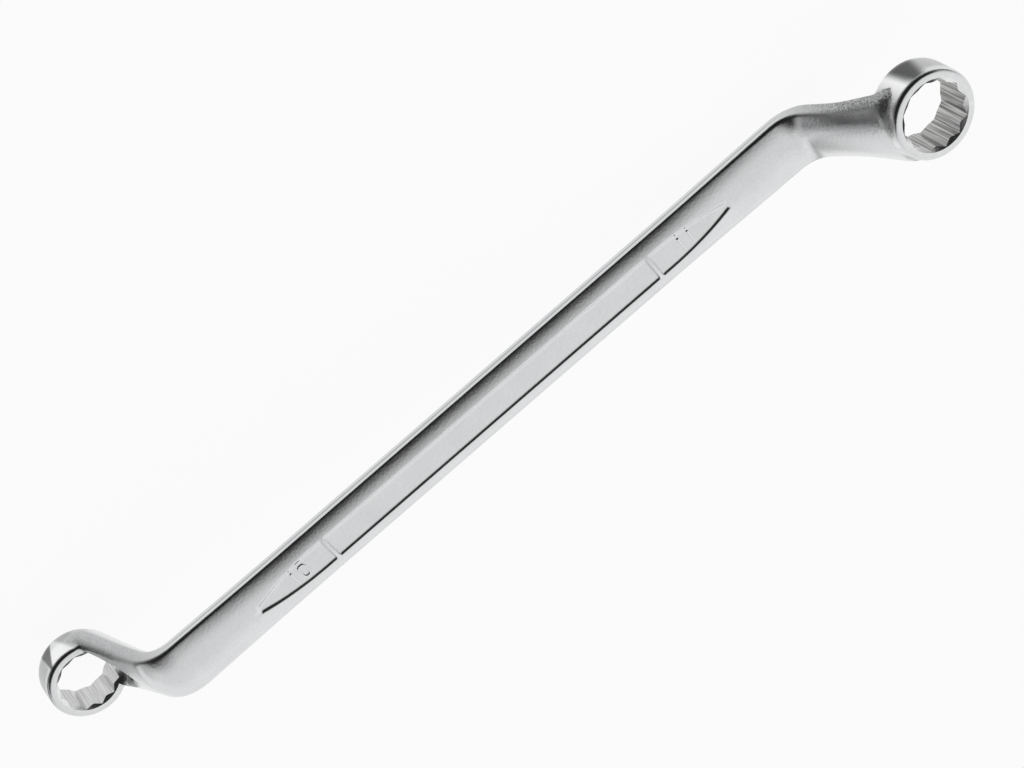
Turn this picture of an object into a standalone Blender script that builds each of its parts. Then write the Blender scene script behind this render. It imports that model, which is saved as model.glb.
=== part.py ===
import math

import bpy
import bmesh
import numpy as np
from mathutils import Matrix

# Cranked ring spanner, forged in one piece. Sizes in millimetres, angles in degrees.
MM = 0.001

# Shank: a flattened bar with crowned broad faces and flat narrow sides.
SHANK_WIDTH = 10.6
SHANK_THICKNESS = 5.3
SHANK_SIDE = 2.0
SIDE_BREAK = 0.25
SHANK_PLAIN = 40.0
ELBOW_SPREAD = 1.2
ELBOW_SIDE = 1.5

# Elbows and necks: each neck leaves the shank at a bend and widens into its ring.
ELBOW_RADIUS = 7.5
NECK_THICKNESS = 4.8
NECK_SIDE = 2.7
FLARE_LENGTH = 20.0
FLARE_POWER = 1.25
CHEEK_REACH = 0.33
CHEEK_CAP = 0.6
JOIN_RADIUS = 4.0
JOIN_INSET = 0.5

# Rings: twelve-point sockets, leaning back a little from the shank for hand room.
RING_TILT = 7.0
RING_WALL = 1.72
RING_HEIGHT_PER_FLATS = 0.72
RING_EDGE = 0.5
RING_EDGE_RUN = 1.1
RING_OVERLAP = 0.2
BORE_CLEARANCE = 0.05
BORE_TURN = 15.0
MOUTH_LIFT = 0.15
MOUTH_WIDTH = 1.0
MOUTH_ANGLE = 35.0
SCOOP_LIP = 0.35
SCOOP_SHIFT = 0.8
SCOOP_RISE = 1.0
TOOL_RUN = 14.0

# The larger end, raised above the shank, and the smaller end, dropped below it.
LARGE_FLATS = 11.0
LARGE_REACH = 90.5
LARGE_OFFSET = 18.2
LARGE_NECK_ANGLE = 56.5
SMALL_FLATS = 10.0
SMALL_REACH = 85.5
SMALL_OFFSET = 19.65
SMALL_NECK_ANGLE = 61.5

# Sunk panel on each broad face, pointed at both ends and crossed by two bars.
PANEL_LENGTH = 106.5
PANEL_CENTRE = 2.75
PANEL_WIDTH = 4.45
PANEL_DEPTH = 0.75
PANEL_DRAFT = 45.0
PANEL_CLEAR = 0.15
PANEL_POINT = 14.0
PANEL_TIP = 0.7
BAR_WIDTH = 0.5
BAR_DRAFT = 30.0
BAR_INSET = 16.2

# Fineness of the faceting.
CROWN_STEPS = 12
RUN_STEPS = 5
BEND_STEPS = 8
ROUND_STEPS = 96
EDGE_STEPS = 3
POINT_STEPS = 6

POINTS = 12


def smooth_step(start, end, value):
    part = min(max((value - start) / (end - start), 0.0), 1.0)
    return part * part * (3.0 - 2.0 * part)


def ring_end(flats, reach, offset, neck_angle, turned):
    # The measures that follow from one end's driving sizes.
    bore_flats = flats + BORE_CLEARANCE
    corner = bore_flats / math.sqrt(3.0)
    radius = corner + RING_WALL
    tilt = math.radians(RING_TILT)
    join_x = reach - JOIN_INSET * radius * math.cos(tilt)
    join_z = offset + JOIN_INSET * radius * math.sin(tilt)
    neck = math.radians(neck_angle)
    elbow_x = join_x - join_z / math.tan(neck)
    elbow_run = ELBOW_RADIUS * math.tan(neck / 2.0)
    height = RING_HEIGHT_PER_FLATS * flats
    axis = np.array((math.sin(tilt), math.cos(tilt)))
    foot = np.array((elbow_x, 0.0)) + elbow_run * np.array((math.cos(neck), math.sin(neck)))
    place = Matrix.Translation((reach, 0.0, offset)) @ Matrix.Rotation(tilt, 4, 'Y')
    if turned:
        place = Matrix.Rotation(math.pi, 4, 'Y') @ place
    return {
        'bore_flats': bore_flats,
        'corner': corner,
        'radius': radius,
        'height': height,
        'elbow': (elbow_x, 0.0),
        'join': (join_x, join_z),
        'centre': (reach, offset),
        'axis': axis,
        'cheek_foot': foot + NECK_THICKNESS / 2.0 * np.array((-math.sin(neck), math.cos(neck))),
        'cheek_head': (reach, offset) + CHEEK_REACH * height * axis + radius * np.array((-axis[1], axis[0])),
        'place': np.array(place),
    }


def bent_path(corners, radii):
    # Stations (x, z, heading) along straight runs joined by circular bends.
    headings = []
    for (x0, z0), (x1, z1) in zip(corners, corners[1:]):
        headings.append(math.atan2(z1 - z0, x1 - x0))
    last = np.array(corners[0])
    path = [(last[0], last[1], headings[0])]
    for i, radius in enumerate(radii):
        into, out = headings[i], headings[i + 1]
        turn = out - into
        back = radius * math.tan(abs(turn) / 2.0)
        start = np.array(corners[i + 1]) - back * np.array((math.cos(into), math.sin(into)))
        for k in range(1, RUN_STEPS + 1):
            x, z = last + (start - last) * k / RUN_STEPS
            path.append((x, z, into))
        signed = math.copysign(radius, turn)
        centre = start + signed * np.array((-math.sin(into), math.cos(into)))
        for k in range(1, BEND_STEPS + 1):
            heading = into + turn * k / BEND_STEPS
            x, z = centre + signed * np.array((math.sin(heading), -math.cos(heading)))
            path.append((x, z, heading))
        last = np.array(path[-1][:2])
    path.append((corners[-1][0], corners[-1][1], headings[-1]))
    return path


def cheek_swell(end, here, heading, half_thick):
    # Extra thickness inside the crank: that face runs straight from the elbow to the ring's wall.
    across = np.array((-math.sin(heading), math.cos(heading)))
    run_x, run_z = end['cheek_head'] - end['cheek_foot']
    normal = np.array((-run_z, run_x))
    straight = (end['cheek_foot'] - here) @ normal / (across @ normal)
    top = end['height'] / 2.0 - CHEEK_CAP
    capped = (top - (here - np.array(end['centre'])) @ end['axis']) / (across @ end['axis'])
    return max(min(straight, capped) - half_thick, 0.0)


def end_stations(end):
    # Stations from the plain shank to the ring's centre, each with its section's sizes.
    corners = [(SHANK_PLAIN, 0.0), end['elbow'], end['join'], end['centre']]
    path = bent_path(corners, (ELBOW_RADIUS, JOIN_RADIUS))
    points = np.array(path)[:, :2]
    steps = np.linalg.norm(np.diff(points, axis=0), axis=1)
    to_ring = np.append(np.cumsum(steps[::-1])[::-1], 0.0)
    stations = []
    for (x, z, heading), distance in zip(path, to_ring):
        spread = smooth_step(to_ring[0], FLARE_LENGTH, distance)
        flare = smooth_step(FLARE_LENGTH, 0.0, distance) ** FLARE_POWER
        width = SHANK_WIDTH + ELBOW_SPREAD * spread
        side = SHANK_SIDE + (ELBOW_SIDE - SHANK_SIDE) * spread
        full = 2.0 * (end['radius'] - RING_OVERLAP)
        half_thick = (SHANK_THICKNESS + (NECK_THICKNESS - SHANK_THICKNESS) * spread) / 2.0
        stations.append((
            x, z, heading,
            (width + (full - width) * flare) / 2.0,
            half_thick,
            cheek_swell(end, np.array((x, z)), heading, half_thick),
            (side + (NECK_SIDE - side) * flare) / 2.0,
        ))
    return stations


def crowned_face(half_width, half_thick, half_side):
    # One crowned face (y, n) of the bar with its broken corners, from side to side.
    rise = half_thick - half_side
    radius = (half_width ** 2 + rise ** 2) / (2.0 * rise)
    limit = math.asin((half_width - SIDE_BREAK) / radius)
    side = half_side - SIDE_BREAK
    face = [(half_width, side)]
    for k in range(CROWN_STEPS + 1):
        angle = limit * (1.0 - 2.0 * k / CROWN_STEPS)
        face.append((radius * math.sin(angle), half_thick - radius * (1.0 - math.cos(angle))))
    return face + [(-half_width, side)]


def section(half_width, half_thick, swell, half_side, sign):
    # Outline across the bar; the face inside the crank swells towards the ring.
    upper = crowned_face(half_width, half_thick + max(sign, 0.0) * swell, half_side)
    lower = crowned_face(half_width, half_thick + max(-sign, 0.0) * swell, half_side)
    return upper + [(-y, -n) for y, n in lower]


def loft(outlines):
    # Closed skin over a row of outlines that all have the same number of points.
    count = len(outlines[0])
    vertices = [tuple(point) for outline in outlines for point in outline]
    faces = []
    for row in range(len(outlines) - 1):
        base = row * count
        for k in range(count):
            after = (k + 1) % count
            faces.append((base + k, base + after, base + count + after, base + count + k))
    faces.append(tuple(range(count)))
    tail = (len(outlines) - 1) * count
    faces.append(tuple(range(tail, tail + count)))
    return vertices, faces


def turned(profile, place):
    # Round solid along the ring's axis from rows of (shift off the axis, radius, height).
    rings = []
    for shift, radius, height in profile:
        rings.append([
            (shift + radius * math.cos(angle), radius * math.sin(angle), height)
            for angle in (np.arange(ROUND_STEPS) + 0.5) * math.tau / ROUND_STEPS
        ])
    return placed(loft(rings), place)


def placed(shape, place):
    vertices, faces = shape
    points = np.column_stack((np.array(vertices), np.ones(len(vertices))))
    return [tuple(p) for p in (points @ place.T)[:, :3]], faces


def ring_profile(end):
    half = end['height'] / 2.0
    flat = end['radius'] - RING_EDGE
    profile = []
    for k in range(EDGE_STEPS + 1):
        angle = math.pi / 2.0 * k / EDGE_STEPS
        profile.append((
            0.0,
            flat + RING_EDGE * math.sin(angle),
            RING_EDGE_RUN - half - RING_EDGE_RUN * math.cos(angle),
        ))
    return profile + [(shift, radius, -height) for shift, radius, height in reversed(profile)]


def bore_outline(end, height):
    # Two hexagons a twelfth of a turn apart: points at the corners, crests between them.
    crest = end['bore_flats'] / 2.0 / math.cos(math.pi / POINTS)
    outline = []
    for k in range(2 * POINTS):
        angle = math.radians(BORE_TURN) + math.pi * k / POINTS
        radius = crest if k % 2 else end['corner']
        outline.append((radius * math.cos(angle), radius * math.sin(angle), height))
    return outline


def bore_cutter(end):
    reach = end['height'] / 2.0 + TOOL_RUN
    return placed(loft([bore_outline(end, -reach), bore_outline(end, reach)]), end['place'])


def mouth_cutter(end, side):
    # Lead-in chamfer at one mouth, running up into the scoop that clears the neck.
    face = end['height'] / 2.0
    mouth = end['corner'] + MOUTH_LIFT
    slope = math.tan(math.radians(MOUTH_ANGLE))
    profile = [
        (0.0, mouth - MOUTH_WIDTH, side * (face - MOUTH_WIDTH * slope)),
        (0.0, mouth + SCOOP_LIP, side * (face + SCOOP_LIP * slope)),
        (-SCOOP_SHIFT, mouth + SCOOP_LIP, side * (face + SCOOP_RISE)),
        (-SCOOP_SHIFT, mouth + SCOOP_LIP, side * (face + TOOL_RUN)),
    ]
    return turned(profile, end['place'])


def panel_half_width(along, widen):
    # Half width of the panel at a distance from its middle: straight, then an ogive point.
    straight = PANEL_LENGTH / 2.0 - PANEL_POINT
    drop = (PANEL_WIDTH - PANEL_TIP) / 2.0
    radius = (PANEL_POINT ** 2 + drop ** 2) / (2.0 * drop)
    past = max(abs(along) - straight, 0.0)
    return PANEL_WIDTH / 2.0 + widen - radius + math.sqrt(radius ** 2 - past ** 2)


def panel_bay(low, high, side):
    # One bay of the panel between two places along the shank, with drafted walls.
    straight = PANEL_LENGTH / 2.0 - PANEL_POINT
    places = {low, high}
    for k in range(POINT_STEPS + 1):
        along = straight + PANEL_POINT * k / POINT_STEPS
        places.update(place for place in (along, -along) if low < place < high)
    floor = SHANK_THICKNESS / 2.0 - PANEL_DEPTH
    rows = []
    for rise in (0.0, PANEL_DEPTH + PANEL_CLEAR):
        height = floor + rise
        grow = rise * math.tan(math.radians(PANEL_DRAFT))
        lean = rise * math.tan(math.radians(BAR_DRAFT))
        edge = []
        for along in sorted(places):
            push = grow if abs(along) > straight else lean
            shift = push if along == high else -push if along == low else 0.0
            edge.append((PANEL_CENTRE + along + shift, panel_half_width(along, grow)))
        outline = [(x, y, side * height) for x, y in edge]
        outline += [(x, -y, side * height) for x, y in reversed(edge)]
        rows.append(outline)
    return loft(rows)


def panel_cutter():
    end = PANEL_LENGTH / 2.0
    bar = end - BAR_INSET
    half_bar = BAR_WIDTH / 2.0 + PANEL_DEPTH * math.tan(math.radians(BAR_DRAFT))
    vertices, faces = [], []
    for side in (1.0, -1.0):
        bays = ((-end, -bar - half_bar), (half_bar - bar, bar - half_bar), (bar + half_bar, end))
        for low, high in bays:
            more, cells = panel_bay(low, high, side)
            faces += [tuple(index + len(vertices) for index in cell) for cell in cells]
            vertices += more
    return vertices, faces


def make_object(name, shape, frame):
    vertices, faces = shape
    mesh = bpy.data.meshes.new(name)
    mesh.from_pydata([tuple(c * MM for c in v) for v in vertices], [], faces)
    work = bmesh.new()
    work.from_mesh(mesh)
    bmesh.ops.recalc_face_normals(work, faces=work.faces[:])
    work.to_mesh(mesh)
    work.free()
    thing = bpy.data.objects.new(name, mesh)
    bpy.context.scene.collection.objects.link(thing)
    thing.parent = frame
    return thing


def combine(target, name, shape, operation, frame):
    tool = make_object(name, shape, frame)
    tool.hide_render = True
    tool.display_type = 'WIRE'
    modifier = target.modifiers.new(name, 'BOOLEAN')
    modifier.object = tool
    modifier.operation = operation


def bench_place(points):
    # Lay the spanner on a bench: turn it onto the two low points either side of its middle.
    outline = sorted({(round(x, 6), round(z, 6)) for x, _, z in points})
    hull = []
    for x, z in outline:
        while len(hull) > 1:
            (x0, z0), (x1, z1) = hull[-2:]
            if (x1 - x0) * (z - z0) > (z1 - z0) * (x - x0):
                break
            hull.pop()
        hull.append((x, z))
    left = max(p for p in hull if p[0] <= PANEL_CENTRE)
    right = min(p for p in hull if p[0] > PANEL_CENTRE)
    turn = Matrix.Rotation(math.atan2(right[1] - left[1], right[0] - left[0]), 4, 'Y')
    laid = np.array(points) @ np.array(turn.to_3x3()).T
    low, high = laid.min(axis=0), laid.max(axis=0)
    middle = (low + high) / 2.0
    return Matrix.Translation((-middle[0] * MM, -middle[1] * MM, -low[2] * MM)) @ turn


def satin_chrome():
    material = bpy.data.materials.new('satin_chrome')
    material.use_nodes = True
    shader = material.node_tree.nodes['Principled BSDF']
    shader.inputs['Base Color'].default_value = (0.72, 0.73, 0.74, 1.0)
    shader.inputs['Metallic'].default_value = 1.0
    shader.inputs['Roughness'].default_value = 0.24
    return material


for thing in list(bpy.data.objects):
    bpy.data.objects.remove(thing)

large = ring_end(LARGE_FLATS, LARGE_REACH, LARGE_OFFSET, LARGE_NECK_ANGLE, False)
small = ring_end(SMALL_FLATS, SMALL_REACH, SMALL_OFFSET, SMALL_NECK_ANGLE, True)

rows = []
for sign, stations in ((-1.0, end_stations(small)[::-1]), (1.0, end_stations(large))):
    for x, z, heading, *sizes in stations:
        rows.append([
            (sign * x - n * math.sin(heading), y, sign * z + n * math.cos(heading))
            for y, n in section(*sizes, sign)
        ])
bar = loft(rows)
rings = {
    'large': turned(ring_profile(large), large['place']),
    'small': turned(ring_profile(small), small['place']),
}

frame = bpy.data.objects.new('bench_frame', None)
bpy.context.scene.collection.objects.link(frame)
frame.matrix_world = bench_place(bar[0] + rings['large'][0] + rings['small'][0])

spanner = make_object('spanner_forging', bar, frame)
spanner.data.materials.append(satin_chrome())
for name, ring in rings.items():
    combine(spanner, name + '_ring', ring, 'UNION', frame)
for name, end in (('large', large), ('small', small)):
    combine(spanner, name + '_bore', bore_cutter(end), 'DIFFERENCE', frame)
    combine(spanner, name + '_upper_mouth', mouth_cutter(end, 1.0), 'DIFFERENCE', frame)
    combine(spanner, name + '_lower_mouth', mouth_cutter(end, -1.0), 'DIFFERENCE', frame)
combine(spanner, 'panels', panel_cutter(), 'DIFFERENCE', frame)
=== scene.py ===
from math import atan2, ceil, copysign, cos, hypot, pi, radians, sin, sqrt, tan, tau

import bpy
import bmesh
import numpy as np
from mathutils import Matrix


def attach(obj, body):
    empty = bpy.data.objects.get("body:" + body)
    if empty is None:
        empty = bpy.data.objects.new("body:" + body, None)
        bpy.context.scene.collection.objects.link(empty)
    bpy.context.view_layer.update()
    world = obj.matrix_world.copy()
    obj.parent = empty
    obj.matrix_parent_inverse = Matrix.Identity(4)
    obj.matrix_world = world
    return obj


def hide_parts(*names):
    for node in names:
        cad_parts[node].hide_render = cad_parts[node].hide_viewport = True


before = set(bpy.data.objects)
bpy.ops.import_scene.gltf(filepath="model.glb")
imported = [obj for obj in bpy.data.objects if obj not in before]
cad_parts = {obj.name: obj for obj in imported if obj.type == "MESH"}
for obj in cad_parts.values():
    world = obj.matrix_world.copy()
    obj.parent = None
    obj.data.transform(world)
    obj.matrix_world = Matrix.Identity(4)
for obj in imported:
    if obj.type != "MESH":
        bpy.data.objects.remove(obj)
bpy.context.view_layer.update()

stage = bpy.context.scene

mm = 0.001
tiny = 1e-6  # keeps a whole number of steps whole
batch = 4000  # points measured at a time

# the shank's own axes laid on the bench: a turn about Y, then a shift in millimetres;
# edges sharper than the last angle stay crisp
bench = {"turn": 8.22628, "shift": (-2.6962, 0.0, 12.5312), "sharp": 32.0}
benchMatrix = np.array(
    Matrix.Translation(bench["shift"]) @ Matrix.Rotation(radians(bench["turn"]), 4, 'Y'))


def smoothStep(start, end, value):
    part = np.clip((value - start) / (end - start), 0.0, 1.0)
    return part * part * (3.0 - 2.0 * part)


# ring ends, millimetres and degrees; the larger is raised above the shank, the smaller dropped
ringShape = {
    "tilt": 7.0, "wall": 1.72, "heightPerFlats": 0.72, "clearance": 0.05,
    "edge": 0.75, "edgeRun": 1.2, "farEdge": 1.05, "farEdgeRun": 2.1,
    "edgeSteps": 15, "wallSteps": 16, "roundSteps": 224, "overlap": 0.2,
    "boreTurn": 15.0, "boreCrestRound": 0.2, "boreRootRound": 0.12,
    "mouthLift": 0.15, "mouthWidth": 1.0, "mouthAngle": 35.0, "trim": 0.012,
    "scoopLip": 0.35, "scoopShift": 0.8, "scoopRise": 1.0, "toolRun": 14.0,
}
# broached: how strongly each socket gets its broached finish and the painted shade of its dark base
largeRing = {
    "flats": 11.0, "reach": 90.5, "offset": 18.2, "neckAngle": 56.5,
    "turned": False, "broachedAndShaded": 1.0,
}
smallRing = {
    "flats": 10.0, "reach": 85.5, "offset": 19.65, "neckAngle": 61.5,
    "turned": True, "broachedAndShaded": 0.7,
}
ringEnds = {"large": largeRing, "small": smallRing}

# shank, elbows and necks, millimetres
bar = {
    "width": 10.6, "thickness": 5.3, "side": 2.0,
    "corner": 0.48, "elbowCorner": 1.0, "neckCorner": 2.0, "cornerFrom": 24.0, "cornerFull": 9.0,
    "cornerLeast": 0.2, "cornerTries": 40, "cornerClear": 0.05, "cornerSteps": 8,
    "plain": 40.0, "elbowSpread": 0.7, "elbowSide": 2.3,
    "elbowRadius": 7.5, "neckThickness": 4.8, "neckSide": 2.8,
    "flareLength": 20.0, "flarePower": 1.25, "joinRadius": 4.0, "joinInset": 0.5,
    "cheekReach": 0.33, "cheekCap": 0.6, "cheekSoft": 2.0,
    "step": 0.55, "outerRun": 2.5,  # spacing of the sections, kept this far outside a bend
}

# sunk panel on both broad faces, pointed at both ends and crossed by two bars
panel = {
    "length": 106.5, "centre": 2.75, "width": 4.45, "depth": 0.75, "tipDepth": 0.55,
    "draft": 40.0, "openDraft": 29.0, "point": 14.0, "tip": 0.7,
    "bar": 0.45, "barDraft": 24.0, "barInset": 16.2,
    "rootRound": 0.18, "edgeRound": 0.14, "pointRound": 0.3,
    "footInset": 0.35, "footLeast": 0.05, "landSteps": 9, "wallSteps": 25, "floorSteps": 5,
}


def finishRing(end):  # measures that follow from one end's driving sizes
    tilt = radians(ringShape["tilt"])
    end["boreFlats"] = end["flats"] + ringShape["clearance"]
    end["corner"] = end["boreFlats"] / sqrt(3.0)
    end["radius"] = end["corner"] + ringShape["wall"] - ringShape["trim"]
    end["height"] = ringShape["heightPerFlats"] * end["flats"]
    inset = bar["joinInset"] * end["radius"]
    joinX, joinZ = end["reach"] - inset * cos(tilt), end["offset"] + inset * sin(tilt)
    end["join"] = np.array((joinX, joinZ))
    end["elbow"] = np.array((joinX - joinZ / tan(radians(end["neckAngle"])), 0.0))
    end["centre"] = np.array((end["reach"], end["offset"]))
    end["axis"] = np.array((sin(tilt), cos(tilt)))
    neck = radians(end["neckAngle"])
    run = bar["elbowRadius"] * tan(neck / 2.0)
    foot = end["elbow"] + run * np.array((cos(neck), sin(neck)))
    end["cheekFoot"] = foot + bar["neckThickness"] / 2.0 * np.array((-sin(neck), cos(neck)))
    wallFoot = end["radius"] * np.array((-end["axis"][1], end["axis"][0]))
    end["cheekHead"] = end["centre"] + bar["cheekReach"] * end["height"] * end["axis"] + wallFoot
    place = Matrix.Translation((end["reach"], 0.0, end["offset"])) @ Matrix.Rotation(tilt, 4, 'Y')
    if end["turned"]:
        place = Matrix.Rotation(pi, 4, 'Y') @ place
    end["place"] = np.array(place)


def bendOut(end):  # fine stations x, z, heading, way left to the ring's centre
    neck = radians(end["neckAngle"])
    back = bar["elbowRadius"] * tan(neck / 2.0)
    end["elbowStart"] = end["elbow"][0] - back
    corners = [np.array((end["elbowStart"], 0.0)), end["elbow"], end["join"], end["centre"]]
    headings = [atan2(b[1] - a[1], b[0] - a[0]) for a, b in zip(corners, corners[1:])]
    path, last = [], corners[0]
    for i, radius in enumerate((bar["elbowRadius"], bar["joinRadius"])):
        into, turn = headings[i], headings[i + 1] - headings[i]
        back = radius * tan(abs(turn) / 2.0)
        start = corners[i + 1] - back * np.array((cos(into), sin(into)))
        count = ceil(hypot(*(start - last)) / bar["step"] - tiny)
        path += [(*(last + (start - last) * k / count), into) for k in range(count)]
        signed = copysign(radius, turn)
        centre = start + signed * np.array((-sin(into), cos(into)))
        count = ceil(abs(turn) * (radius + bar["outerRun"]) / bar["step"])
        for k in range(count):
            heading = into + turn * k / count
            path.append((*(centre + signed * np.array((sin(heading), -cos(heading)))), heading))
        heading = into + turn
        last = centre + signed * np.array((sin(heading), -cos(heading)))
    count = ceil(hypot(*(corners[-1] - last)) / bar["step"])
    path += [(*(last + (corners[-1] - last) * k / count), headings[-1]) for k in range(count + 1)]
    path = np.array(path)
    steps = np.hypot(*np.diff(path[:, :2], axis=0).T)
    left = np.append(np.cumsum(steps[::-1])[::-1], 0.0)
    return np.column_stack((path, left))


def panelHalf(along):  # half width of the sunk panel, straight and then an ogive point
    straight = panel["length"] / 2.0 - panel["point"]
    drop = (panel["width"] - panel["tip"]) / 2.0
    radius = (panel["point"] ** 2 + drop ** 2) / (2.0 * drop)
    past = min(max(abs(along) - straight, 0.0), panel["point"])
    return panel["width"] / 2.0 - radius + sqrt(radius ** 2 - past ** 2)


def panelLift(along):  # how far the two bars and the end walls stand above the panel's floor
    end = panel["length"] / 2.0
    steep = 1.0 / tan(radians(panel["barDraft"]))
    offBar = abs(abs(along) - (end - panel["barInset"]))
    crest = panel["depth"] + (panel["bar"] / 2.0 - offBar) * steep
    return max(crest, (abs(along) - end) * tan(radians(panel["draft"])))


def panelFloor(along):  # level of the panel's floor, rising a little towards the points
    end = panel["length"] / 2.0
    nearTip = float(smoothStep(end - panel["point"], end, abs(along)))
    rise = (panel["depth"] - panel["tipDepth"]) * nearTip
    return bar["thickness"] / 2.0 - panel["depth"] + rise


def lowerOf(first, second, soft):  # smooth minimum with a small rounding
    part = np.clip(0.5 + 0.5 * (second - first) / soft, 0.0, 1.0)
    return second + (first - second) * part - soft * part * (1.0 - part)


def crownedFace(halfWidth, halfThick, halfSide, curve, half, lift, floor):
    # one broad face (y, n) with its rounded corners and the sunk panel
    rise = halfThick - halfSide
    radius = (halfWidth ** 2 + rise ** 2) / (2.0 * rise)
    low = halfThick - radius
    least = bar["cornerLeast"] * bar["corner"]  # the largest corner that still fits is taken
    for curve in np.linspace(curve, least, bar["cornerTries"]):
        cornerY = halfWidth - curve
        cornerN = low + sqrt((radius - curve) ** 2 - cornerY ** 2)
        if cornerN > bar["cornerClear"]:
            break
    sweep = np.linspace(0.0, atan2(cornerN - low, cornerY), bar["cornerSteps"])
    corner = np.column_stack((cornerY + curve * np.cos(sweep), cornerN + curve * np.sin(sweep)))
    sides = []
    for draft in (panel["openDraft"], panel["draft"]):  # the wall on the open side is gentler
        wallTop = half + panel["depth"] / tan(radians(draft))
        wallFoot = max(half - panel["footInset"], panel["footLeast"])
        ys = np.concatenate((
            np.linspace(corner[-1, 0], wallTop, panel["landSteps"])[1:],
            np.linspace(wallTop, wallFoot, panel["wallSteps"])[1:],
            np.linspace(wallFoot, 0.0, panel["floorSteps"])[1:]))
        ns = low + np.sqrt(radius ** 2 - ys ** 2)
        wall = -lowerOf((half - ys) * tan(radians(draft)), 0.0 * ys - lift, panel["pointRound"])
        sunk = floor - lowerOf(-wall, 0.0 * ys, panel["rootRound"])
        ns = lowerOf(ns, sunk, panel["edgeRound"])
        sides.append(np.vstack((corner, np.column_stack((ys, ns)))))
    return np.vstack((sides[0], sides[1][-2::-1] * (-1.0, 1.0)))


def section(halfWidth, halfThick, swell, halfSide, sign, curve, sunk):
    # outline across the bar: the face inside the crank swells towards the ring
    upper = crownedFace(halfWidth, halfThick + max(sign, 0.0) * swell, halfSide, curve, *sunk)
    lower = crownedFace(halfWidth, halfThick + max(-sign, 0.0) * swell, halfSide, curve, *sunk)
    return np.vstack((upper, [(-halfWidth, 0.0)], -lower, [(halfWidth, 0.0)]))


def cheekSwell(end, here, heading, halfThick):
    # extra thickness inside the crank, where that face runs straight from the elbow to the ring
    across = np.array((-sin(heading), cos(heading)))
    runX, runZ = end["cheekHead"] - end["cheekFoot"]
    normal = np.array((-runZ, runX))
    straight = (end["cheekFoot"] - here) @ normal / (across @ normal)
    top = end["height"] / 2.0 - bar["cheekCap"]
    capped = (top - (here - end["centre"]) @ end["axis"]) / (across @ end["axis"])
    return -float(lowerOf(halfThick - min(straight, capped), 0.0, bar["cheekSoft"]))


# spacing of the sections along the straight shank: plain, in the panel's points, at their tips
# and across the two bars, with how many of each
spacing = {"plain": 1.4, "point": 0.5, "points": 28, "tip": 0.07, "tips": (-2, 9),
           "bar": 0.06, "bars": 16, "least": 0.03, "digits": 4}


def shankPlaces(lowEnd, highEnd):
    places = list(np.arange(lowEnd, highEnd, spacing["plain"]))
    end = panel["length"] / 2.0
    for side in (-1.0, 1.0):
        places += [panel["centre"] + side * (end - panel["point"] + k * spacing["point"])
                   for k in range(spacing["points"])]
        places += [panel["centre"] + side * (end + k * spacing["tip"])
                   for k in range(*spacing["tips"])]
        barAt = panel["centre"] + side * (end - panel["barInset"])
        places += [barAt + k * spacing["bar"] for k in range(-spacing["bars"], spacing["bars"] + 1)]
    places = np.unique(np.round(places, spacing["digits"]))
    keep = np.concatenate(([True], np.diff(places) > spacing["least"]))
    return places[keep]


def barOutlines():
    rows, spine = [], []
    paths = {name: bendOut(end) for name, end in ringEnds.items()}

    def sizes(x, z, heading, left, end):
        spread = float(smoothStep(end["whole"], bar["flareLength"], left))
        flare = float(smoothStep(bar["flareLength"], 0.0, left)) ** bar["flarePower"]
        width = bar["width"] + bar["elbowSpread"] * spread
        side = bar["side"] + (bar["elbowSide"] - bar["side"]) * spread
        full = 2.0 * (end["radius"] - ringShape["overlap"])
        halfThick = (bar["thickness"] + (bar["neckThickness"] - bar["thickness"]) * spread) / 2.0
        rounder = float(smoothStep(bar["cornerFrom"], bar["cornerFull"], left))
        return ((width + (full - width) * flare) / 2.0,
                halfThick,
                cheekSwell(end, np.array((x, z)), heading, halfThick),
                (side + (bar["neckSide"] - side) * flare) / 2.0,
                -1.0 if end["turned"] else 1.0,
                bar["corner"] + (bar["elbowCorner"] - bar["corner"]) * spread
                + (bar["neckCorner"] - bar["elbowCorner"]) * rounder)

    def addRow(x, z, heading, shape, along):
        outline = section(*shape, (panelHalf(along), panelLift(along), panelFloor(along)))
        rows.append(np.column_stack((
            x - outline[:, 1] * sin(heading), outline[:, 0], z + outline[:, 1] * cos(heading))))
        spine.append((x, z, heading))

    for name, end in ringEnds.items():
        end["whole"] = paths[name][0, 3] + end["elbowStart"] - bar["plain"]
    far = panel["length"]
    for x, z, heading, left in paths["small"][::-1]:
        addRow(-x, -z, heading, sizes(x, z, heading, left, smallRing), far)
    for x in shankPlaces(-smallRing["elbowStart"], largeRing["elbowStart"])[1:]:
        end, path = (largeRing, paths["large"]) if x > 0 else (smallRing, paths["small"])
        left = path[0, 3] + end["elbowStart"] - abs(x)
        addRow(x, 0.0, 0.0, sizes(abs(x), 0.0, 0.0, left, end), x - panel["centre"])
    for x, z, heading, left in paths["large"]:
        addRow(x, z, heading, sizes(x, z, heading, left, largeRing), far)
    return rows, np.array(spine)


def loft(rows):  # closed skin over outlines with equal numbers of points
    count = len(rows[0])
    faces = []
    for row in range(len(rows) - 1):
        base = row * count
        for k in range(count):
            after = (k + 1) % count
            faces.append((base + k, base + after, base + count + after, base + count + k))
    faces.append(tuple(range(count)))
    tail = (len(rows) - 1) * count
    faces.append(tuple(range(tail, tail + count)))
    return np.vstack(rows), faces


def turned(profile, place):  # round solid along a ring's axis from (axis shift, radius, height)
    angles = (np.arange(ringShape["roundSteps"]) + 0.5) * tau / ringShape["roundSteps"]
    rows = [np.column_stack((s + r * np.cos(angles), r * np.sin(angles), np.full_like(angles, h)))
            for s, r, h in profile]
    points, faces = loft(rows)
    return moved(points, place), faces


def moved(points, matrix):
    return points @ matrix[:3, :3].T + matrix[:3, 3]


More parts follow.
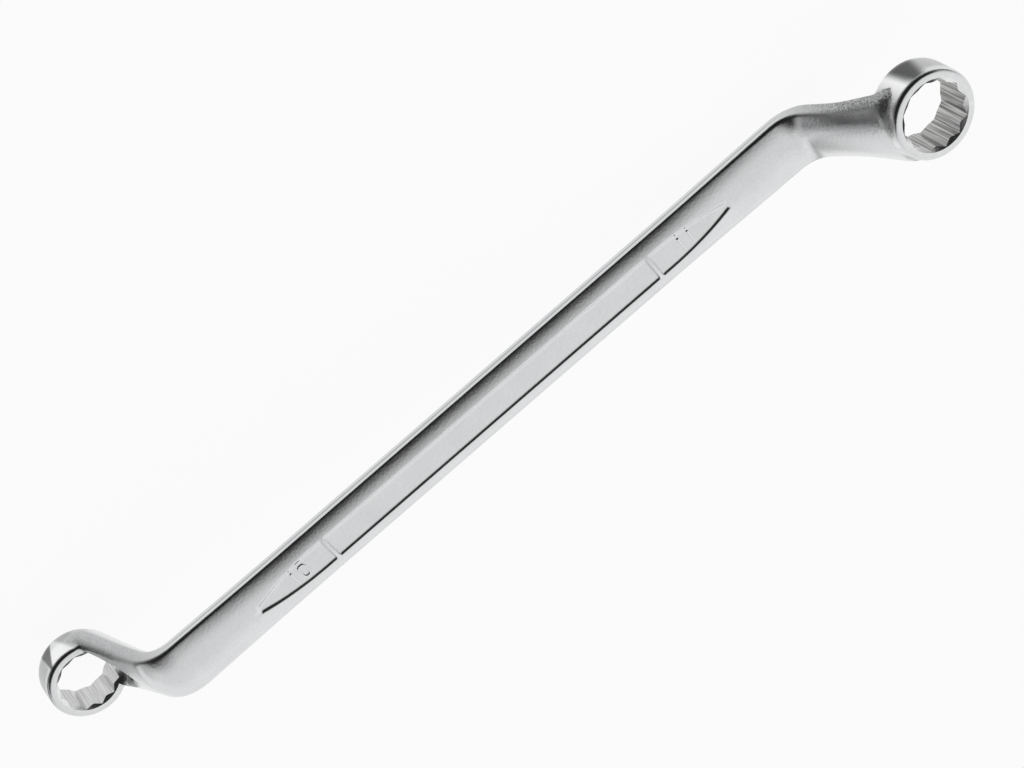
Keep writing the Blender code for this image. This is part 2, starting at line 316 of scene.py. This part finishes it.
def ringProfile(end):  # the rim away from the crank's open side was linished rounder
    half = end["height"] / 2.0
    turn = np.linspace(0.0, pi / 2.0, ringShape["edgeSteps"])

    def rim(edge, run):
        out = end["radius"] - edge * (1.0 - np.sin(turn))
        return np.column_stack((0.0 * turn, out, run * (1.0 - np.cos(turn)) - half))

    low = rim(ringShape["farEdge"], ringShape["farEdgeRun"])
    high = rim(ringShape["edge"], ringShape["edgeRun"])
    if end["turned"]:
        low, high = high, low
    wall = np.linspace(low[-1, 2], -high[-1, 2], ringShape["wallSteps"])[1:-1]
    middle = np.column_stack((0.0 * wall, np.full_like(wall, end["radius"]), wall))
    return np.vstack((low, middle, high[::-1] * (1.0, 1.0, -1.0)))


def boreOutline(end):  # twelve points with rounded roots and crests
    crest = end["boreFlats"] / 2.0 / cos(pi / 12.0)
    tips = []
    for k in range(24):
        angle = radians(ringShape["boreTurn"]) + pi * k / 12.0
        radius = crest if k % 2 else end["corner"]
        tips.append(np.array((radius * cos(angle), radius * sin(angle))))
    outline = []
    for k in range(24):
        here, before, after = tips[k], tips[k - 1], tips[(k + 1) % 24]
        cut = ringShape["boreCrestRound"] if k % 2 else ringShape["boreRootRound"]
        a = here + (before - here) * cut / hypot(*(before - here))
        b = here + (after - here) * cut / hypot(*(after - here))
        for t in (0.0, 0.25, 0.5, 0.75, 1.0):
            outline.append(a * (1 - t) ** 2 + here * 2 * t * (1 - t) + b * t ** 2)
    return np.array(outline)


def boreCutter(end):
    outline, reach = boreOutline(end), end["height"] / 2.0 + ringShape["toolRun"]
    rows = [np.column_stack((outline, np.full(len(outline), h))) for h in (-reach, reach)]
    points, faces = loft(rows)
    return moved(points, end["place"]), faces


def mouthCutter(end, side):  # lead-in chamfer, running up into the scoop that clears the neck
    face, mouth = end["height"] / 2.0, end["corner"] + ringShape["mouthLift"]
    slope = tan(radians(ringShape["mouthAngle"]))
    lip, shift = ringShape["scoopLip"], -ringShape["scoopShift"]
    inner = mouth - ringShape["mouthWidth"]
    profile = [(0.0, inner, side * (face - ringShape["mouthWidth"] * slope)),
               (0.0, mouth + lip, side * (face + lip * slope)),
               (shift, mouth + lip, side * (face + ringShape["scoopRise"])),
               (shift, mouth + lip, side * (face + ringShape["toolRun"]))]
    return turned(profile, end["place"])


def meshObject(name, shape):
    points, faces = shape
    mesh = bpy.data.meshes.new(name)
    mesh.from_pydata([tuple(p) for p in points], [], faces)
    work = bmesh.new()
    work.from_mesh(mesh)
    bmesh.ops.recalc_face_normals(work, faces=work.faces[:])
    work.to_mesh(mesh)
    work.free()
    thing = bpy.data.objects.new(name, mesh)
    stage.collection.objects.link(thing)
    return thing


def combine(target, shapes, operation):  # boolean each shape into the target and apply it
    tools = []
    for shape in shapes:
        tool = meshObject("tool", shape)
        cut = target.modifiers.new("tool", 'BOOLEAN')
        cut.object, cut.operation, cut.solver = tool, operation, 'EXACT'
        tools.append(tool)
    evaluated = target.evaluated_get(bpy.context.evaluated_depsgraph_get())
    result = bpy.data.meshes.new_from_object(evaluated)
    target.modifiers.clear()
    old, target.data = target.data, result
    bpy.data.meshes.remove(old)
    for tool in tools:
        mesh = tool.data
        bpy.data.objects.remove(tool)
        bpy.data.meshes.remove(mesh)


# soft blend where each neck runs into its ring; the sockets and their mouths keep their shape
blend = {
    "reach": 1.5, "full": 0.25, "rounds": 26, "factor": 0.5, "crease": 10.0,
    "weld": 0.004, "mouthClear": 0.04, "faceClear": 0.05, "neckSide": 0.35, "wallBand": 1.5,
}


def softenNecks(thing):
    work = bmesh.new()
    work.from_mesh(thing.data)
    bmesh.ops.remove_doubles(work, verts=work.verts[:], dist=blend["weld"])
    wide = [face for face in work.faces if len(face.verts) > 4]
    bmesh.ops.triangulate(work, faces=wide)  # keeps the mesh closed when it is exported
    points = np.array([v.co for v in work.verts])
    near = np.full(len(points), np.inf)
    fixed = np.zeros(len(points), bool)
    for end in ringEnds.values():
        local = moved(points, np.linalg.inv(end["place"]))
        radius = np.hypot(local[:, 0], local[:, 1])
        half, outer = end["height"] / 2.0, end["radius"] + blend["wallBand"]
        mouth = end["corner"] + ringShape["mouthLift"] + ringShape["scoopLip"] + blend["mouthClear"]
        scoop = np.hypot(local[:, 0] + ringShape["scoopShift"], local[:, 1]) < mouth
        scoop &= np.abs(local[:, 2]) > half - blend["faceClear"]
        keep = (radius < mouth) | (scoop & (local[:, 2] < 0.0))
        zone = ~keep & (local[:, 0] < -blend["neckSide"] * end["radius"])
        fixed |= keep & (np.abs(local[:, 2]) < half + ringShape["toolRun"])
        crease = []
        for edge in work.edges:
            a, b = edge.verts[0].index, edge.verts[1].index
            if not (zone[a] and zone[b]) or len(edge.link_faces) != 2:
                continue
            onWall = radius[a] < outer and radius[b] < outer
            if onWall and edge.calc_face_angle_signed(0.0) < -radians(blend["crease"]):
                crease.append((points[a] + points[b]) / 2.0)
        crease = np.array(crease)
        for start in range(0, len(points), batch):
            part = slice(start, start + batch)
            gap = np.linalg.norm(points[part, None, :] - crease[None, :, :], axis=2).min(axis=1)
            near[part] = np.minimum(near[part], gap)
        print("  neck crease edges", len(crease))
    fade = smoothStep(blend["full"] * blend["reach"], blend["reach"], near)
    weight = np.where(fixed, 0.0, 1.0 - fade)
    for level in range(blend["rounds"]):
        chosen = np.nonzero(weight > level / blend["rounds"])[0]
        work.verts.ensure_lookup_table()
        bmesh.ops.smooth_vert(
            work, verts=[work.verts[i] for i in chosen], factor=blend["factor"],
            use_axis_x=True, use_axis_y=True, use_axis_z=True)
    work.to_mesh(thing.data)
    work.free()
    return weight


for end in ringEnds.values():
    finishRing(end)
rows, spine = barOutlines()
spanner = meshObject("spanner", loft(rows))
print("bar lofted:", len(rows), "sections of", len(rows[0]), "points")
combine(spanner, [turned(ringProfile(end), end["place"]) for end in ringEnds.values()], 'UNION')
print("rings joined to the necks")
combine(spanner, [boreCutter(end) for end in ringEnds.values()], 'DIFFERENCE')
combine(spanner, [mouthCutter(end, side) for end in ringEnds.values() for side in (1.0, -1.0)],
        'DIFFERENCE')
print("sockets cut:", len(spanner.data.polygons), "faces")
blended = softenNecks(spanner)


# tones round each ring's wall, degrees from its outer end: the linishing belt's tone fades out
# between two angles, bright gives where up the wall a painted highlight fades in, and each darker
# patch, painted shade standing in for a dark reflection, has its two borders at the far rim, its
# two at the near rim, softness and strength
ringTone = {
    "large": {"belt": (88.0, 100.0), "bright": (-0.3, 0.0),
              "shadePatches": (((59.0, 98.0), (71.0, 88.0), 8.0, 0.95),)},
    "small": {"belt": (63.0, 71.0), "bright": (0.3, 0.55),
              "shadePatches": (((64.0, 90.0), (68.0, 71.0), 2.0, 0.88),
                          ((90.0, 120.0), (114.0, 120.0), 4.0, 0.45))},
}

# where the other marks fade in or out: millimetres, or shares of a ring's height and radius
marks = {
    "largeNeck": (69.0, 83.0), "smallNeck": (-64.0, -74.0), "smallNeckShare": 0.55,
    "shankShare": 0.1, "neckShare": 0.9, "sideLean": (0.45, 0.85),  # flash ground off the sides
    "seamHalf": (0.3, 0.05), "seamLean": (0.4, 0.1),  # parting line along the sides
    "largeJoin": 0.9, "smallJoin": 0.5, "joinOut": (1.5, 3.5),
    "ringSlack": 0.05, "wallIn": (0.5, 0.1), "beltHalf": (0.42, 0.2),
    # brightIn and brightRim place the painted highlight, darkRim the painted shade
    "brightIn": (1.1, 0.5), "brightRim": (0.97, 0.9), "darkRim": (0.97, 0.88),
    "roughIn": (1.3, 0.6), "roughRim": (0.97, 0.85), "roughBack": (-0.1, -0.75),
    "socketIn": 0.02, "socketEnd": 0.5,
}


def ringPatch(angle, near, far, close, soft, strength):
    low, high = [a + (b - a) * near for a, b in zip(far, close)]
    inner = smoothStep(low - soft, low + soft, angle)
    return strength * inner * smoothStep(high + soft, high - soft, angle)


def within(end, fade, radius):  # fades in over two depths below the ring's outer wall
    return smoothStep(end["radius"] - fade[0], end["radius"] - fade[1], radius)


def vectors(items, field):
    flat = np.empty(len(items) * 3)
    items.foreach_get(field, flat)
    return flat.reshape(-1, 3)


def surfaceMarks(thing):  # ground flash, parting line, ring tones with a painted highlight and painted shade, and broached sockets that carry painted shade
    mesh = thing.data
    points, normals = vectors(mesh.vertices, "co"), vectors(mesh.vertex_normals, "vector")
    ground, parting, linished, paintedShade, paintedHighlight = np.zeros((5, len(points)))
    for start in range(0, len(points), batch):
        part = slice(start, start + batch)
        flat = points[part][:, None, (0, 2)] - spine[None, :, :2]
        nearest = np.argmin((flat ** 2).sum(axis=2), axis=1)
        heading = spine[nearest, 2]
        across = np.column_stack((-np.sin(heading), np.zeros(len(heading)), np.cos(heading)))
        away = np.zeros((len(heading), 3))
        away[:, (0, 2)] = flat[np.arange(len(heading)), nearest]
        offset = np.abs((away * across).sum(axis=1))
        lean = np.abs((normals[part] * across).sum(axis=1))
        along = points[part][:, 0]
        neck = np.maximum(smoothStep(*marks["largeNeck"], along),
                          marks["smallNeckShare"] * smoothStep(*marks["smallNeck"], along))
        sideways = smoothStep(*marks["sideLean"], np.abs(normals[part][:, 1]))
        ground[part] = (marks["shankShare"] + marks["neckShare"] * neck) * sideways
        seam = smoothStep(*marks["seamHalf"], offset) * smoothStep(*marks["seamLean"], lean)
        parting[part] = (1.0 - neck) * seam
    join = np.where(points[:, 0] > 0.0, marks["largeJoin"], marks["smallJoin"]) * blended
    ground = np.maximum(ground, join * smoothStep(*marks["joinOut"], np.abs(points[:, 1])))
    faces = vectors(mesh.polygons, "center")
    broachedAndShaded = np.zeros(len(faces))
    for name, end in ringEnds.items():
        back, tone = np.linalg.inv(end["place"]), ringTone[name]
        local = moved(points, back)
        radius, high = np.hypot(local[:, 0], local[:, 1]), np.abs(local[:, 2])
        onRing = radius < end["radius"] + marks["ringSlack"]
        onRing &= high < end["height"] / 2.0 + marks["ringSlack"]
        angle = np.degrees(np.abs(np.arctan2(local[:, 1], local[:, 0])))
        seenSide = local[:, 1] > 0.0
        near = 0.5 + local[:, 2] / end["height"] * (-1.0 if end["turned"] else 1.0)
        wall = within(end, marks["wallIn"], radius)
        belt = smoothStep(*tone["belt"][::-1], angle)
        band = smoothStep(*(share * end["height"] for share in marks["beltHalf"]), high)
        linished = np.where(onRing, wall * band * belt, linished)
        # painted highlight: part of the seen side of the wall made near white, a bright reflection
        # painted on
        bright = within(end, marks["brightIn"], radius) * smoothStep(*marks["brightRim"], near)
        bright = bright * (1.0 - belt) * smoothStep(*tone["bright"], near) * seenSide
        paintedHighlight = np.where(onRing, bright, paintedHighlight)
        # each patch is painted shade: a dark reflection painted on the seen side of the ring wall
        for patch in tone["shadePatches"]:
            dark = wall * seenSide * smoothStep(*marks["darkRim"], near)
            dark = dark * ringPatch(angle, near, *patch)
            paintedShade = np.where(onRing, np.maximum(paintedShade, dark), paintedShade)
        rough = within(end, marks["roughIn"], radius) * smoothStep(*marks["roughRim"], near)
        rough = rough * smoothStep(*marks["roughBack"], local[:, 0] / end["radius"])
        ground = np.where(onRing, ground * rough, ground)
        # the broached faces inside each socket: broach lines, and a dark base that is partly
        # painted shade
        middle = moved(faces, back)
        inside = np.hypot(middle[:, 0], middle[:, 1]) < end["corner"] - marks["socketIn"]
        inside &= np.abs(middle[:, 2]) < end["height"] / 2.0 - marks["socketEnd"]
        broachedAndShaded[inside] = end["broachedAndShaded"]
    for name, values, domain in (
            ("flashGround", ground, 'POINT'), ("partingLine", parting, 'POINT'),
            ("linished", linished, 'POINT'), ("paintedShade", paintedShade, 'POINT'),
            ("paintedHighlight", paintedHighlight, 'POINT'), ("broachedAndShaded", broachedAndShaded, 'FACE')):
        mesh.attributes.new(name, 'FLOAT', domain).data.foreach_set("value", values)


surfaceMarks(spanner)
print("finish marks laid on the mesh")

# raised size numerals on the panel's floor: strokes in millimetres, x along the shank, y up
numerals = {
    "stroke": 0.5, "top": 0.26, "rise": 0.32, "root": 0.12, "width": 1.95, "tall": 3.1,
    "waist": (0.42, 0.45), "shoulder": 0.9, "crown": 0.25, "mitre": 0.5,  # the rib's outline
    "bulge": 0.75, "ovalSteps": 40,  # the nought is a little squarer than an ellipse
    "pitch": 2.14, "places": (("10", -41.4), ("11", 47.0)),
}


def strokeMesh(points, closed):  # a raised rib with sloping sides along a flat line
    points = np.array(points)
    count = len(points)
    stroke, top, rise = numerals["stroke"], numerals["top"], numerals["rise"]
    waistOut, waistUp = numerals["waist"]
    profile = [(-0.5 * stroke, -numerals["root"]), (-0.5 * stroke, 0.0),
               (-waistOut * stroke, waistUp * rise),
               (-0.5 * top, numerals["shoulder"] * rise), (-numerals["crown"] * top, rise)]
    profile += [(-offset, height) for offset, height in reversed(profile)]
    rows = []
    for k in range(count):
        ahead = points[(k + 1) % count] if closed or k < count - 1 else points[k]
        behind = points[k - 1] if closed or k > 0 else points[k]
        into = points[k] - behind if closed or k > 0 else ahead - points[k]
        out = ahead - points[k] if closed or k < count - 1 else into
        into, out = into / hypot(*into), out / hypot(*out)
        mid = (into + out) / hypot(*(into + out))
        side = np.array((-mid[1], mid[0])) / max(float(mid @ out), numerals["mitre"])
        rows.append([(*(points[k] + side * offset), height) for offset, height in profile])
    faces, wide = [], len(profile)
    for k in range(count if closed else count - 1):
        a, b = k * wide, ((k + 1) % count) * wide
        for j in range(wide):
            after = (j + 1) % wide
            faces.append((a + j, a + after, b + after, b + j))
    if not closed:
        faces += [tuple(range(wide)), tuple(range((count - 1) * wide, count * wide))]
    return np.array(rows).reshape(-1, 3), faces


def numeralStrokes(figure):
    half = numerals["width"] / 2.0 - numerals["stroke"] / 2.0
    tall = (numerals["tall"] - numerals["stroke"]) / 2.0
    if figure == "1":
        return [(0.0, tall), (0.0, -tall)], False

    def squarer(value):
        return copysign(abs(value) ** numerals["bulge"], value)

    turn = np.linspace(0.0, tau, numerals["ovalSteps"], endpoint=False)
    return [(half * squarer(cos(t)), tall * squarer(sin(t))) for t in turn], True


def raiseNumerals():
    made = []
    floor = bar["thickness"] / 2.0 - panel["depth"]
    for word, at in numerals["places"]:
        points, faces = [], []
        for k, figure in enumerate(word):
            shape, cells = strokeMesh(*numeralStrokes(figure))
            shape = shape + (at + (k - (len(word) - 1) / 2.0) * numerals["pitch"], 0.0, floor)
            base = sum(len(p) for p in points)
            points.append(shape)
            faces += [tuple(i + base for i in cell) for cell in cells]
        made.append(meshObject("numeral_" + word, (np.vstack(points), faces)))
    return made


sizeMarks = raiseNumerals()
print("numerals raised:", [thing.name for thing in sizeMarks])

for thing in [spanner] + sizeMarks:  # from the shank's axes in millimetres to the bench in metres
    place = benchMatrix.copy()
    place[:3] *= mm
    thing.data.transform(Matrix(place))
    thing.data.shade_smooth()
    thing.data.set_sharp_from_angle(angle=radians(bench["sharp"]))
    thing.data.update()


def addNode(tree, kind, links=(), **values):
    node = tree.nodes.new(kind)
    for name, value in values.items():
        setattr(node, name, value)
    for socket, source in links:
        if hasattr(source, "is_output"):
            tree.links.new(source, node.inputs[socket])
        else:
            node.inputs[socket].default_value = source
    return node


def ramp(tree, source, stops):  # grey levels along a ramp
    node = addNode(tree, 'ShaderNodeValToRGB', [("Fac", source)])
    stopsNow = node.color_ramp.elements
    while len(stopsNow) < len(stops):
        stopsNow.new(0.5)
    for element, (position, level) in zip(stopsNow, stops):
        element.position = position
        element.color = (level, level, level, 1.0)
    return node.outputs["Color"]


def calc(tree, operation, first, second=None, third=None):
    links = [(i, v) for i, v in enumerate((first, second, third)) if v is not None]
    return addNode(tree, 'ShaderNodeMath', links, operation=operation).outputs[0]


def mixColour(tree, factor, first, second, blendType='MIX'):  # sockets by place: names repeat
    node = addNode(tree, 'ShaderNodeMix', [(0, factor), (6, first), (7, second)],
                   data_type='RGBA', blend_type=blendType)
    return node.outputs[2]


def mixValue(tree, factor, first, second):
    return addNode(tree, 'ShaderNodeMix', [(0, factor), (2, first), (3, second)]).outputs[0]


# satin chrome plate over polished forging
chrome = {
    "plate": (0.765, 0.773, 0.78), "worn": (0.83, 0.835, 0.84), "ground": (0.56, 0.565, 0.57),
    # the darkest ring-wall tone is painted shade, the near-white one a painted highlight, and the
    # socket's dark base is partly painted shade
    "linished": (0.46, 0.463, 0.465), "paintedShade": (0.075, 0.076, 0.077),
    "paintedHighlight": (0.94, 0.942, 0.945), "broachedAndShaded": (0.17, 0.168, 0.163),
    "broachLine": (0.62, 0.62, 0.615), "parting": (0.3, 0.305, 0.31),
    "evenSpeck": (0.75, 0.75, 0.75),
    "roughness": 0.2, "groundRoughness": 0.5, "linishedRoughness": 0.3, "broachedRoughness": 0.28,
    "lineRoughness": 0.1, "cloudRoughness": 0.12, "wornRoughness": -0.04,
    # noises: size per millimetre and detail; lines are stretched along one axis, size per metre
    "cloud": (0.16, 3.0), "grain": (4.2, 4.0), "pits": (3.3, 4.0), "uneven": (1.9, 3.0),
    "lines": (120.0, 5200.0, 5200.0), "broachLines": (3200.0, 3200.0, 90.0), "drawn": (1.0, 3.0),
    # grey ramps: where along the source, and the level there
    "wornEdge": ((0.515, 0.0), (0.56, 1.0)), "wornOffGround": ((0.1, 1.0), (0.45, 0.0)),
    "cloudTone": ((0.3, 0.95), (0.7, 1.0)), "unevenTone": ((0.3, 0.97), (0.7, 1.03)),
    "speck": ((0.36, 0.3), (0.5, 0.75), (0.64, 1.25)), "grit": ((0.45, 0.15), (0.95, 1.0)),
    "beltTone": ((0.3, 0.55), (0.7, 1.0)), "seam": ((0.62, 0.0), (0.95, 0.8)),
    # root darkens the sockets' concave roots: painted shade
    "broachTone": ((0.35, 0.0), (0.68, 1.0)), "root": ((0.43, 0.25), (0.5, 1.0)),
    # bump: strength, depth in metres and the share of each noise
    "bump": 0.35, "bumpDepth": 0.00002, "lineBump": 0.4, "grainBump": 0.5, "unevenBump": 3.0,
    "pitBump": 24.0, "broachBump": 2.0,
}


def satinChrome():
    material = bpy.data.materials.new("satinChrome")
    material.use_nodes = True
    tree = material.node_tree
    shader = tree.nodes["Principled BSDF"]
    shader.inputs["Metallic"].default_value = 1.0
    where = addNode(tree, 'ShaderNodeTexCoord').outputs["Object"]

    def colour(name):
        return (*chrome[name], 1.0)

    def mark(name):  # a finish mark kept on the mesh
        return addNode(tree, 'ShaderNodeAttribute', attribute_name=name).outputs["Fac"]

    def scaled(vector, scale):
        node = addNode(tree, 'ShaderNodeMapping', [("Vector", vector), ("Scale", scale)])
        return node.outputs["Vector"]

    def noise(vector, name):
        scale, detail = chrome[name]
        node = addNode(tree, 'ShaderNodeTexNoise', [
            ("Vector", vector), ("Scale", scale), ("Detail", detail)])
        return node.outputs["Fac"]

    def times(first, second):
        return calc(tree, 'MULTIPLY', first, second)

    def swing(source, share, base):  # base, moved up and down by a noise
        return calc(tree, 'MULTIPLY_ADD', calc(tree, 'SUBTRACT', source, 0.5), share, base)

    inMm = scaled(where, (1.0 / mm, 1.0 / mm, 1.0 / mm))
    inAxis = addNode(tree, 'ShaderNodeVectorRotate', [  # broach lines run along the rings' axis
        ("Vector", where), ("Axis", (0.0, 1.0, 0.0)),
        ("Angle", -radians(ringShape["tilt"] + bench["turn"]))], rotation_type='AXIS_ANGLE')
    cloud, grain = noise(inMm, "cloud"), noise(inMm, "grain")
    pits, uneven = noise(inMm, "pits"), noise(inMm, "uneven")
    lines = noise(scaled(where, chrome["lines"]), "drawn")
    broachLines = noise(scaled(inAxis.outputs["Vector"], chrome["broachLines"]), "drawn")
    ground, broachedAndShaded, belt = mark("flashGround"), mark("broachedAndShaded"), mark("linished")
    edges = addNode(tree, 'ShaderNodeNewGeometry').outputs["Pointiness"]
    worn = times(ramp(tree, edges, chrome["wornEdge"]), calc(tree, 'SUBTRACT', 1.0, broachedAndShaded))
    worn = times(worn, ramp(tree, ground, chrome["wornOffGround"]))
    grit = ramp(tree, ground, chrome["grit"])  # smoother where less was ground off

    # colour: plate, a little cloudier in patches, brighter where handling polishes the edges; the
    # ring walls carry a painted highlight and painted shade
    plate = colour("plate")
    for source, name in ((cloud, "cloudTone"), (uneven, "unevenTone")):
        plate = mixColour(tree, 1.0, plate, ramp(tree, source, chrome[name]), 'MULTIPLY')
    beltTone = times(belt, ramp(tree, cloud, chrome["beltTone"]))
    plate = mixColour(tree, beltTone, plate, colour("linished"))
    # painted highlight, then painted shade, on the seen side of the ring walls
    for name in ("paintedHighlight", "paintedShade"):
        plate = mixColour(tree, mark(name), plate, colour(name))
    speck = mixColour(tree, grit, colour("evenSpeck"), ramp(tree, pits, chrome["speck"]))
    speckled = mixColour(tree, 1.0, colour("ground"), speck, 'MULTIPLY')
    plate = mixColour(tree, ground, plate, speckled)
    seam = ramp(tree, mark("partingLine"), chrome["seam"])
    plate = mixColour(tree, seam, plate, colour("parting"))
    # inside the sockets: broach lines over a dark base that is partly painted shade, and the roots
    # darkened further with painted shade
    cut = mixColour(tree, ramp(tree, broachLines, chrome["broachTone"]),
                    colour("broachedAndShaded"), colour("broachLine"))
    cut = mixColour(tree, 1.0, cut, ramp(tree, edges, chrome["root"]), 'MULTIPLY')  # dark roots
    plate = mixColour(tree, broachedAndShaded, plate, cut)
    plate = mixColour(tree, worn, plate, colour("worn"))
    tree.links.new(plate, shader.inputs["Base Color"])

    # roughness: satin plate, coarser on the ground band, broached in the sockets
    rough = swing(lines, chrome["lineRoughness"], chrome["roughness"])
    rough = swing(cloud, chrome["cloudRoughness"], rough)
    rough = mixValue(tree, belt, rough, chrome["linishedRoughness"])
    rough = mixValue(tree, broachedAndShaded, rough, chrome["broachedRoughness"])
    rough = mixValue(tree, ground, rough, chrome["groundRoughness"])
    rough = calc(tree, 'MULTIPLY_ADD', worn, chrome["wornRoughness"], rough)
    tree.links.new(rough, shader.inputs["Roughness"])

    # bump: fine grain, polishing lines and an uneven plate, coarse grain where it was ground
    height = times(grain, chrome["grainBump"])
    for source, name in ((lines, "lineBump"), (uneven, "unevenBump"),
                         (times(pits, times(ground, grit)), "pitBump"),
                         (times(broachLines, broachedAndShaded), "broachBump")):
        height = calc(tree, 'MULTIPLY_ADD', source, chrome[name], height)
    bump = addNode(tree, 'ShaderNodeBump', [
        ("Strength", chrome["bump"]), ("Distance", chrome["bumpDepth"]), ("Height", height)])
    tree.links.new(bump.outputs["Normal"], shader.inputs["Normal"])
    return material


finish = satinChrome()
for thing in [spanner] + sizeMarks:
    thing.data.materials.clear()
    thing.data.materials.append(finish)
    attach(thing, "root")
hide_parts("spanner_forging")
print("finish laid on")

# pale bench top: white to the eye and in the plating, with the spanner's soft shadow kept
floorLook = {
    "size": 6.0, "drop": 0.0001, "colour": (0.9, 0.9, 0.9), "white": 0.93,
    "steep": 0.5, "shallow": 0.8, "far": 0.06,  # darker in the plating at a shallow angle
    # lighter behind the spanner and past its small end: from, to and the level there
    "behind": (-0.035, -0.005, 0.95), "endwise": (-0.4, -0.1, 0.32),
}


def benchTop():
    half, drop = floorLook["size"] / 2.0, floorLook["drop"]
    mesh = bpy.data.meshes.new("benchTop")
    corners = [(-half, -half), (half, -half), (half, half), (-half, half)]
    mesh.from_pydata([(x, y, -drop) for x, y in corners], [], [(0, 1, 2, 3)])
    top = bpy.data.objects.new("benchTop", mesh)
    stage.collection.objects.link(top)
    material = bpy.data.materials.new("paleBench")
    material.use_nodes = True
    tree = material.node_tree
    tree.nodes.remove(tree.nodes["Principled BSDF"])
    paint = addNode(tree, 'ShaderNodeBsdfDiffuse', [("Color", (*floorLook["colour"], 1.0))])
    ray = addNode(tree, 'ShaderNodeLightPath')
    facing = addNode(tree, 'ShaderNodeLayerWeight', [("Blend", 0.5)]).outputs["Facing"]
    level = ramp(tree, facing, [
        (floorLook["steep"], 1.0), (floorLook["shallow"], floorLook["far"])])
    place = addNode(tree, 'ShaderNodeSeparateXYZ', [
        ("Vector", addNode(tree, 'ShaderNodeTexCoord').outputs["Object"])])
    for axis, area in (("Y", "behind"), ("X", "endwise")):
        far, close, bright = floorLook[area]
        lit = addNode(tree, 'ShaderNodeMapRange', [
            ("Value", place.outputs[axis]), ("From Min", close), ("From Max", far),
            ("To Max", bright)])
        level = calc(tree, 'MAXIMUM', level, lit.outputs["Result"])
    level = calc(tree, 'MAXIMUM', level, ray.outputs["Is Camera Ray"])
    glow = addNode(tree, 'ShaderNodeEmission', [
        ("Color", (1.0, 1.0, 1.0, 1.0)), ("Strength", level)])
    seen = calc(tree, 'MAXIMUM', ray.outputs["Is Camera Ray"], ray.outputs["Is Glossy Ray"])
    seen = calc(tree, 'MAXIMUM', seen, ray.outputs["Is Transmission Ray"])
    share = calc(tree, 'MULTIPLY', seen, floorLook["white"])
    both = addNode(tree, 'ShaderNodeMixShader', [
        (0, share), (1, paint.outputs[0]), (2, glow.outputs[0])])
    tree.links.new(both.outputs[0], tree.nodes["Material Output"].inputs["Surface"])
    mesh.materials.append(material)


# studio: a soft white tent behind the spanner and overhead, open on the side it is seen from
tent = {
    # degrees from overhead towards the open side, and the level there
    "levels": ((-100, 0.95), (-86, 1.0), (-72, 0.93), (-60, 0.95), (-45, 0.9), (-30, 0.83),
               (-10, 0.82), (-2, 0.77), (3, 0.65), (9, 0.53), (16, 0.38), (21, 0.21),
               (24, 0.12), (27, 0.055), (30, 0.028), (45, 0.015), (120, 0.015)),
    "wrap": 30.0,  # how far the opening reaches round at the small ring's end
    "ends": 0.5, "endsFrom": 0.88, "endsFull": 0.99,  # level straight along the spanner
}


def studioLight():
    world = bpy.data.worlds.new("softTent")
    stage.world = world
    world.use_nodes = True
    tree = world.node_tree
    direction = addNode(tree, 'ShaderNodeTexCoord').outputs["Generated"]
    axes = addNode(tree, 'ShaderNodeSeparateXYZ', [("Vector", direction)])
    lean = calc(tree, 'ARCTAN2', axes.outputs["Y"], axes.outputs["Z"])
    smallEnd = calc(tree, 'MINIMUM', axes.outputs["X"], 0.0)
    lean = calc(tree, 'MULTIPLY_ADD', smallEnd, -radians(tent["wrap"]), lean)
    low, high = tent["levels"][0][0], tent["levels"][-1][0]
    lean = calc(tree, 'SUBTRACT', lean, radians(low))
    lean = calc(tree, 'DIVIDE', lean, radians(high) - radians(low))
    level = ramp(tree, lean, [((d - low) / (high - low), v) for d, v in tent["levels"]])
    endOn = calc(tree, 'ABSOLUTE', axes.outputs["X"])
    endOn = ramp(tree, endOn, [(tent["endsFrom"], 0.0), (tent["endsFull"], 1.0)])
    level = mixColour(tree, endOn, level, (tent["ends"], tent["ends"], tent["ends"], 1.0))
    tree.links.new(level, tree.nodes["Background"].inputs["Color"])
    tree.nodes["Background"].inputs["Strength"].default_value = 1.0


# camera: where the spanner is seen from, metres and degrees
view = {
    "place": (0.083912, 0.274324, 0.397399), "turn": (-34.2283, -13.5562, -34.9895),
    "lens": 97.443, "sensor": 36.0, "near": 0.01, "far": 20.0,
}


def standCamera():
    lens = bpy.data.cameras.new("viewpoint")
    lens.sensor_fit, lens.sensor_width, lens.lens = 'HORIZONTAL', view["sensor"], view["lens"]
    lens.clip_start, lens.clip_end = view["near"], view["far"]
    eye = bpy.data.objects.new("viewpoint", lens)
    eye.location = view["place"]
    eye.rotation_euler = [radians(angle) for angle in view["turn"]]
    stage.collection.objects.link(eye)
    stage.camera = eye


benchTop()
studioLight()
standCamera()
stage.view_settings.view_transform = 'Standard'
print("bench, light and camera set")
